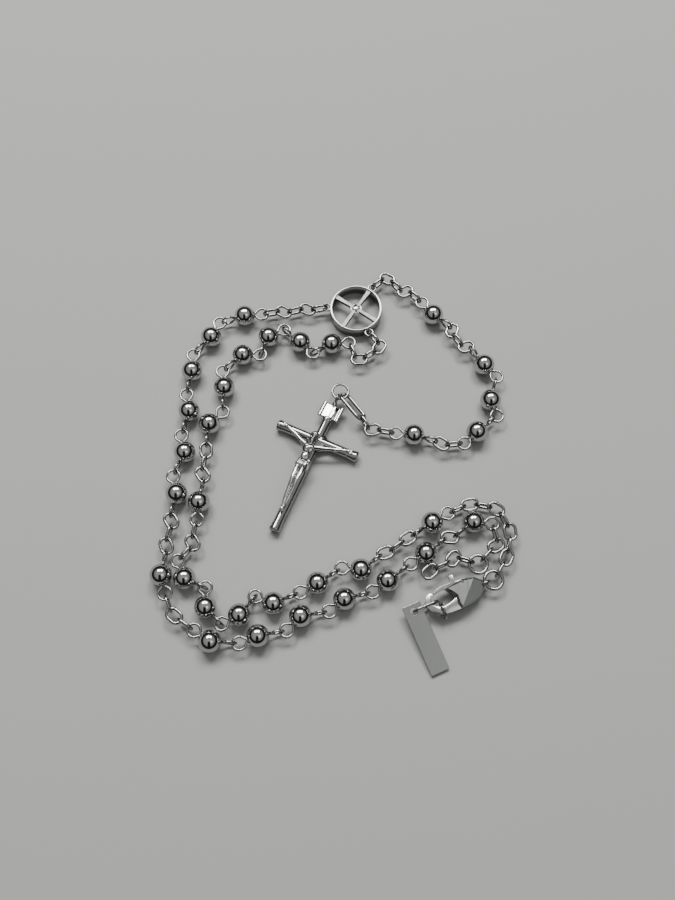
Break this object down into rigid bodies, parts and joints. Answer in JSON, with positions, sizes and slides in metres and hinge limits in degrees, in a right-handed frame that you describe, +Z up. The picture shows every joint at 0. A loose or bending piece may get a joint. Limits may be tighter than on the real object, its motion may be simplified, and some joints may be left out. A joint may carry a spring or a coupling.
{
  "type": "rosary necklace",
  "caption": "Steel rosary necklace laid flat: round beads on eye pins, fine cable chain, pierced centrepiece, crucifix drop, claw clasp and plain tag.",
  "frame": {"origin": "centre of the bounding box in plan, on the surface the necklace lies on", "axes": "+Z up from the surface; +Y from the bottom of the bead loops towards the centrepiece; +X towards the clasp"},
  "size_m": [0.082, 0.0982, 0.005],
  "materials": {
    "polished_steel": "mirror polished",
    "satin_steel": "satin",
    "aged_steel": "polished relief, darker in the recesses"
  },
  "bodies": {
    "centre_medal": {"centre_medal": "polished_steel"},
    "outer_chain_1": {"outer_chain_1": "polished_steel"},
    "outer_bead_01": {"outer_bead_01": "polished_steel"},
    "outer_bead_02": {"outer_bead_02": "polished_steel"},
    "outer_bead_03": {"outer_bead_03": "polished_steel"},
    "outer_bead_04": {"outer_bead_04": "polished_steel"},
    "outer_bead_05": {"outer_bead_05": "polished_steel"},
    "outer_bead_06": {"outer_bead_06": "polished_steel"},
    "outer_chain_2": {"outer_chain_2": "polished_steel"},
    "outer_bead_07": {"outer_bead_07": "polished_steel"},
    "outer_chain_3": {"outer_chain_3": "polished_steel"},
    "outer_bead_08": {"outer_bead_08": "polished_steel"},
    "outer_bead_09": {"outer_bead_09": "polished_steel"},
    "outer_bead_10": {"outer_bead_10": "polished_steel"},
    "outer_bead_11": {"outer_bead_11": "polished_steel"},
    "outer_bead_12": {"outer_bead_12": "polished_steel"},
    "outer_bead_13": {"outer_bead_13": "polished_steel"},
    "outer_chain_4": {"outer_chain_4": "polished_steel"},
    "outer_bead_14": {"outer_bead_14": "polished_steel"},
    "outer_tail_chain": {"outer_tail_chain": "polished_steel"},
    "inner_chain_1": {"inner_chain_1": "polished_steel"},
    "inner_bead_01": {"inner_bead_01": "polished_steel"},
    "inner_bead_02": {"inner_bead_02": "polished_steel"},
    "inner_bead_03": {"inner_bead_03": "polished_steel"},
    "inner_bead_04": {"inner_bead_04": "polished_steel"},
    "inner_bead_05": {"inner_bead_05": "polished_steel"},
    "inner_bead_06": {"inner_bead_06": "polished_steel"},
    "inner_chain_2": {"inner_chain_2": "polished_steel"},
    "inner_bead_07": {"inner_bead_07": "polished_steel"},
    "inner_chain_3": {"inner_chain_3": "polished_steel"},
    "inner_bead_08": {"inner_bead_08": "polished_steel"},
    "inner_bead_09": {"inner_bead_09": "polished_steel"},
    "inner_bead_10": {"inner_bead_10": "polished_steel"},
    "inner_bead_11": {"inner_bead_11": "polished_steel"},
    "inner_bead_12": {"inner_bead_12": "polished_steel"},
    "inner_bead_13": {"inner_bead_13": "polished_steel"},
    "inner_chain_4": {"inner_chain_4": "polished_steel"},
    "inner_bead_14": {"inner_bead_14": "polished_steel"},
    "inner_tail_chain": {"inner_tail_chain": "polished_steel"},
    "drop_chain_1": {"drop_chain_1": "polished_steel"},
    "drop_bead_01": {"drop_bead_01": "polished_steel"},
    "drop_chain_2": {"drop_chain_2": "polished_steel"},
    "drop_bead_02": {"drop_bead_02": "polished_steel"},
    "drop_bead_03": {"drop_bead_03": "polished_steel"},
    "drop_bead_04": {"drop_bead_04": "polished_steel"},
    "drop_chain_3": {"drop_chain_3": "polished_steel"},
    "drop_bead_05": {"drop_bead_05": "polished_steel"},
    "drop_chain_4": {"drop_chain_4": "polished_steel"},
    "end_ring": {"end_ring": "polished_steel"},
    "extension_chain": {"extension_chain": "polished_steel"},
    "clasp_ring": {"clasp_ring": "polished_steel"},
    "clasp_body": {"clasp_body": "satin_steel"},
    "clasp_lever": {"clasp_lever": "satin_steel"},
    "hook_ring": {"hook_ring": "polished_steel"},
    "tag_link": {"tag_link": "polished_steel"},
    "name_tag": {"name_tag": "satin_steel"},
    "crucifix_bail": {"crucifix_bail": "polished_steel"},
    "crucifix_ring": {"crucifix_ring": "polished_steel"},
    "crucifix": {"crucifix_cross": "polished_steel", "crucifix_corpus": "aged_steel"}
  },
  "joints": [
    {"name": "outer_chain_1_lift", "type": "hinge", "parent": "centre_medal", "child": "outer_chain_1", "pos_m": [-0.003, 0.03899, 0.0025], "axis": [-0.1821, 0.9833, 0], "range_deg": [-30, 30]},
    {"name": "outer_bead_01_lift", "type": "hinge", "parent": "outer_chain_1", "child": "outer_bead_01", "pos_m": [-0.01668, 0.03751, 0.0025], "axis": [0.1937, -0.9811, 0], "range_deg": [-30, 30]},
    {"name": "outer_bead_02_lift", "type": "hinge", "parent": "outer_bead_01", "child": "outer_bead_02", "pos_m": [-0.02698, 0.03528, 0.0025], "axis": [0.3102, -0.9507, 0], "range_deg": [-30, 30]},
    {"name": "outer_bead_03_lift", "type": "hinge", "parent": "outer_bead_02", "child": "outer_bead_03", "pos_m": [-0.03341, 0.02727, 0.0025], "axis": [-0.7675, 0.641, 0], "range_deg": [-30, 30]},
    {"name": "outer_bead_04_lift", "type": "hinge", "parent": "outer_bead_03", "child": "outer_bead_04", "pos_m": [-0.03514, 0.01707, 0.0025], "axis": [-0.9881, 0.1536, 0], "range_deg": [-30, 30]},
    {"name": "outer_bead_05_lift", "type": "hinge", "parent": "outer_bead_04", "child": "outer_bead_05", "pos_m": [-0.03561, 0.00671, 0.0025], "axis": [0.9742, -0.2258, 0], "range_deg": [-30, 30]},
    {"name": "outer_bead_06_lift", "type": "hinge", "parent": "outer_bead_05", "child": "outer_bead_06", "pos_m": [-0.03671, -0.0034, 0.0025], "axis": [0.9317, -0.3633, 0], "range_deg": [-30, 30]},
    {"name": "outer_chain_2_lift", "type": "hinge", "parent": "outer_bead_06", "child": "outer_chain_2", "pos_m": [-0.0371, -0.0136, 0.0025], "axis": [-0.9825, 0.1861, 0], "range_deg": [-30, 30]},
    {"name": "outer_bead_07_lift", "type": "hinge", "parent": "outer_chain_2", "child": "outer_bead_07", "pos_m": [-0.03774, -0.02287, 0.0025], "axis": [-0.9871, 0.16, 0], "range_deg": [-30, 30]},
    {"name": "outer_chain_3_lift", "type": "hinge", "parent": "outer_bead_07", "child": "outer_chain_3", "pos_m": [-0.03683, -0.03306, 0.0025], "axis": [0.9198, 0.3925, 0], "range_deg": [-30, 30]},
    {"name": "outer_bead_08_lift", "type": "hinge", "parent": "outer_chain_3", "child": "outer_bead_08", "pos_m": [-0.03171, -0.03895, 0.0025], "axis": [0.5647, 0.8253, 0], "range_deg": [-30, 30]},
    {"name": "outer_bead_09_lift", "type": "hinge", "parent": "outer_bead_08", "child": "outer_bead_09", "pos_m": [-0.02208, -0.04245, 0.0025], "axis": [-0.069, -0.9976, 0], "range_deg": [-30, 30]},
    {"name": "outer_bead_10_lift", "type": "hinge", "parent": "outer_bead_09", "child": "outer_bead_10", "pos_m": [-0.01188, -0.04004, 0.0025], "axis": [0.181, -0.9835, 0], "range_deg": [-30, 30]},
    {"name": "outer_bead_11_lift", "type": "hinge", "parent": "outer_bead_10", "child": "outer_bead_11", "pos_m": [-0.00271, -0.0359, 0.0025], "axis": [-0.1619, 0.9868, 0], "range_deg": [-30, 30]},
    {"name": "outer_bead_12_lift", "type": "hinge", "parent": "outer_bead_11", "child": "outer_bead_12", "pos_m": [0.00676, -0.03176, 0.0025], "axis": [-0.2497, 0.9683, 0], "range_deg": [-30, 30]},
    {"name": "outer_bead_13_lift", "type": "hinge", "parent": "outer_bead_12", "child": "outer_bead_13", "pos_m": [0.01556, -0.02601, 0.0025], "axis": [0.5802, -0.8145, 0], "range_deg": [-30, 30]},
    {"name": "outer_chain_4_lift", "type": "hinge", "parent": "outer_bead_13", "child": "outer_chain_4", "pos_m": [0.02409, -0.01986, 0.0025], "axis": [0.591, -0.8066, 0], "range_deg": [-30, 30]},
    {"name": "outer_bead_14_lift", "type": "hinge", "parent": "outer_chain_4", "child": "outer_bead_14", "pos_m": [0.02729, -0.01844, 0.0025], "axis": [-0.5988, 0.8009, 0], "range_deg": [-30, 30]},
    {"name": "outer_tail_chain_lift", "type": "hinge", "parent": "outer_bead_14", "child": "outer_tail_chain", "pos_m": [0.0357, -0.01735, 0.0025], "axis": [0.9766, 0.2152, 0], "range_deg": [-30, 30]},
    {"name": "inner_chain_1_lift", "type": "hinge", "parent": "centre_medal", "child": "inner_chain_1", "pos_m": [0.00879, 0.03149, 0.0025], "axis": [0.7793, 0.6266, 0], "range_deg": [-30, 30]},
    {"name": "inner_bead_01_lift", "type": "hinge", "parent": "inner_chain_1", "child": "inner_bead_01", "pos_m": [0.00383, 0.02809, 0.0025], "axis": [0.9284, 0.3717, 0], "range_deg": [-30, 30]},
    {"name": "inner_bead_02_lift", "type": "hinge", "parent": "inner_bead_01", "child": "inner_bead_02", "pos_m": [-0.0042, 0.02736, 0.0025], "axis": [-0.479, 0.8778, 0], "range_deg": [-30, 30]},
    {"name": "inner_bead_03_lift", "type": "hinge", "parent": "inner_bead_02", "child": "inner_bead_03", "pos_m": [-0.01139, 0.03198, 0.0025], "axis": [-0.6433, -0.7656, 0], "range_deg": [-30, 30]},
    {"name": "inner_bead_04_lift", "type": "hinge", "parent": "inner_bead_03", "child": "inner_bead_04", "pos_m": [-0.01764, 0.02754, 0.0025], "axis": [0.9316, -0.3634, 0], "range_deg": [-30, 30]},
    {"name": "inner_bead_05_lift", "type": "hinge", "parent": "inner_bead_04", "child": "inner_bead_05", "pos_m": [-0.026, 0.02278, 0.0025], "axis": [-0.6823, 0.7311, 0], "range_deg": [-30, 30]},
    {"name": "inner_bead_06_lift", "type": "hinge", "parent": "inner_bead_05", "child": "inner_bead_06", "pos_m": [-0.02655, 0.01267, 0.0025], "axis": [-0.9999, 0.0151, 0], "range_deg": [-30, 30]},
    {"name": "inner_chain_2_lift", "type": "hinge", "parent": "inner_bead_06", "child": "inner_chain_2", "pos_m": [-0.02997, 0.00343, 0.0025], "axis": [0.9969, -0.079, 0], "range_deg": [-30, 30]},
    {"name": "inner_bead_07_lift", "type": "hinge", "parent": "inner_chain_2", "child": "inner_bead_07", "pos_m": [-0.03033, -0.00605, 0.0025], "axis": [0.9898, -0.1424, 0], "range_deg": [-30, 30]},
    {"name": "inner_chain_3_lift", "type": "hinge", "parent": "inner_bead_07", "child": "inner_chain_3", "pos_m": [-0.03152, -0.01648, 0.0025], "axis": [-0.9787, 0.2054, 0], "range_deg": [-30, 30]},
    {"name": "inner_bead_08_lift", "type": "hinge", "parent": "inner_chain_3", "child": "inner_bead_08", "pos_m": [-0.03398, -0.02344, 0.0025], "axis": [-0.736, 0.677, 0], "range_deg": [-30, 30]},
    {"name": "inner_bead_09_lift", "type": "hinge", "parent": "inner_bead_08", "child": "inner_bead_09", "pos_m": [-0.02985, -0.02991, 0.0025], "axis": [0.4099, 0.9121, 0], "range_deg": [-30, 30]},
    {"name": "inner_bead_10_lift", "type": "hinge", "parent": "inner_bead_09", "child": "inner_bead_10", "pos_m": [-0.02566, -0.03734, 0.0025], "axis": [0.701, 0.7132, 0], "range_deg": [-30, 30]},
    {"name": "inner_bead_11_lift", "type": "hinge", "parent": "inner_bead_10", "child": "inner_bead_11", "pos_m": [-0.01846, -0.03355, 0.0025], "axis": [0.7609, -0.6488, 0], "range_deg": [-30, 30]},
    {"name": "inner_bead_12_lift", "type": "hinge", "parent": "inner_bead_11", "child": "inner_bead_12", "pos_m": [-0.00898, -0.03203, 0.0025], "axis": [0.3781, -0.9258, 0], "range_deg": [-30, 30]},
    {"name": "inner_bead_13_lift", "type": "hinge", "parent": "inner_bead_12", "child": "inner_bead_13", "pos_m": [0.00024, -0.02684, 0.0025], "axis": [-0.5283, 0.8491, 0], "range_deg": [-30, 30]},
    {"name": "inner_chain_4_lift", "type": "hinge", "parent": "inner_bead_13", "child": "inner_chain_4", "pos_m": [0.0096, -0.02361, 0.0025], "axis": [-0.5863, 0.8101, 0], "range_deg": [-30, 30]},
    {"name": "inner_bead_14_lift", "type": "hinge", "parent": "inner_chain_4", "child": "inner_bead_14", "pos_m": [0.0178, -0.01834, 0.0025], "axis": [0.5439, -0.8392, 0], "range_deg": [-30, 30]},
    {"name": "inner_tail_chain_lift", "type": "hinge", "parent": "inner_bead_14", "child": "inner_tail_chain", "pos_m": [0.02682, -0.01295, 0.0025], "axis": [0.4019, -0.9157, 0], "range_deg": [-30, 30]},
    {"name": "drop_chain_1_lift", "type": "hinge", "parent": "centre_medal", "child": "drop_chain_1", "pos_m": [0.00978, 0.04521, 0.0025], "axis": [0.656, -0.7547, 0], "range_deg": [-30, 30]},
    {"name": "drop_bead_01_lift", "type": "hinge", "parent": "drop_chain_1", "child": "drop_bead_01", "pos_m": [0.02037, 0.04148, 0.0025], "axis": [0.6998, 0.7143, 0], "range_deg": [-30, 30]},
    {"name": "drop_chain_2_lift", "type": "hinge", "parent": "drop_bead_01", "child": "drop_chain_2", "pos_m": [0.02774, 0.03406, 0.0025], "axis": [0.6331, 0.774, 0], "range_deg": [-30, 30]},
    {"name": "drop_bead_02_lift", "type": "hinge", "parent": "drop_chain_2", "child": "drop_bead_02", "pos_m": [0.03298, 0.02751, 0.0025], "axis": [-0.816, -0.5781, 0], "range_deg": [-30, 30]},
    {"name": "drop_bead_03_lift", "type": "hinge", "parent": "drop_bead_02", "child": "drop_bead_03", "pos_m": [0.03818, 0.01901, 0.0025], "axis": [-0.9592, 0.2827, 0], "range_deg": [-30, 30]},
    {"name": "drop_bead_04_lift", "type": "hinge", "parent": "drop_bead_03", "child": "drop_bead_04", "pos_m": [0.03694, 0.00935, 0.0025], "axis": [0.6266, -0.7793, 0], "range_deg": [-30, 30]},
    {"name": "drop_chain_3_lift", "type": "hinge", "parent": "drop_bead_04", "child": "drop_chain_3", "pos_m": [0.02857, 0.00325, 0.0025], "axis": [0.0893, -0.996, 0], "range_deg": [-30, 30]},
    {"name": "drop_bead_05_lift", "type": "hinge", "parent": "drop_chain_3", "child": "drop_bead_05", "pos_m": [0.02297, 0.00402, 0.0025], "axis": [0.3061, 0.952, 0], "range_deg": [-30, 30]},
    {"name": "drop_chain_4_lift", "type": "hinge", "parent": "drop_bead_05", "child": "drop_chain_4", "pos_m": [0.01273, 0.00616, 0.0025], "axis": [0.1993, 0.9799, 0], "range_deg": [-30, 30]},
    {"name": "end_ring_lift", "type": "hinge", "parent": "outer_tail_chain", "child": "end_ring", "pos_m": [0.0331, -0.02378, 0.0025], "axis": [-0.7278, 0.6858, 0], "range_deg": [-30, 30]},
    {"name": "extension_chain_lift", "type": "hinge", "parent": "end_ring", "child": "extension_chain", "pos_m": [0.02981, -0.02459, 0.0025], "axis": [0.3226, 0.9465, 0], "range_deg": [-30, 30]},
    {"name": "clasp_ring_lift", "type": "hinge", "parent": "inner_tail_chain", "child": "clasp_ring", "pos_m": [0.03602, -0.02712, 0.0025], "axis": [0.8395, -0.5433, 0], "range_deg": [-30, 30]},
    {"name": "clasp_body_lift", "type": "hinge", "parent": "clasp_ring", "child": "clasp_body", "pos_m": [0.03304, -0.02949, 0.0025], "axis": [0.342, -0.9397, 0], "range_deg": [-30, 30]},
    {"name": "clasp_lever_turn", "type": "hinge", "parent": "clasp_body", "child": "clasp_lever", "pos_m": [0.02781, -0.02943, 0.0025], "axis": [0, 0, 1], "range_deg": [0, 8], "stiffness_Nm_per_rad": 0.005},
    {"name": "hook_ring_tilt", "type": "hinge", "parent": "clasp_body", "child": "hook_ring", "pos_m": [0.02345, -0.03541, 0.0025], "axis": [-0.9397, -0.342, 0], "range_deg": [-10, 10]},
    {"name": "tag_link_swing", "type": "hinge", "parent": "clasp_body", "child": "tag_link", "pos_m": [0.0205, -0.03429, 0.0025], "axis": [0, 0, 1], "range_deg": [-6, 6]},
    {"name": "name_tag_swing", "type": "hinge", "parent": "tag_link", "child": "name_tag", "pos_m": [0.01708, -0.03571, 0.0025], "axis": [0, 0, 1], "range_deg": [-12, 12]},
    {"name": "crucifix_bail_lift", "type": "hinge", "parent": "drop_chain_4", "child": "crucifix_bail", "pos_m": [0.00655, 0.00943, 0.0025], "axis": [-0.7958, -0.6056, 0], "range_deg": [-14, 5]},
    {"name": "crucifix_ring_lift", "type": "hinge", "parent": "crucifix_bail", "child": "crucifix_ring", "pos_m": [0.00234, 0.01497, 0.0025], "axis": [-0.7958, -0.6056, 0], "range_deg": [-12, 12]},
    {"name": "crucifix_lift", "type": "hinge", "parent": "crucifix_ring", "child": "crucifix", "pos_m": [0.00041, 0.01474, 0.0025], "axis": [-0.9135, 0.4067, 0], "range_deg": [-30, 30]}
  ]
}
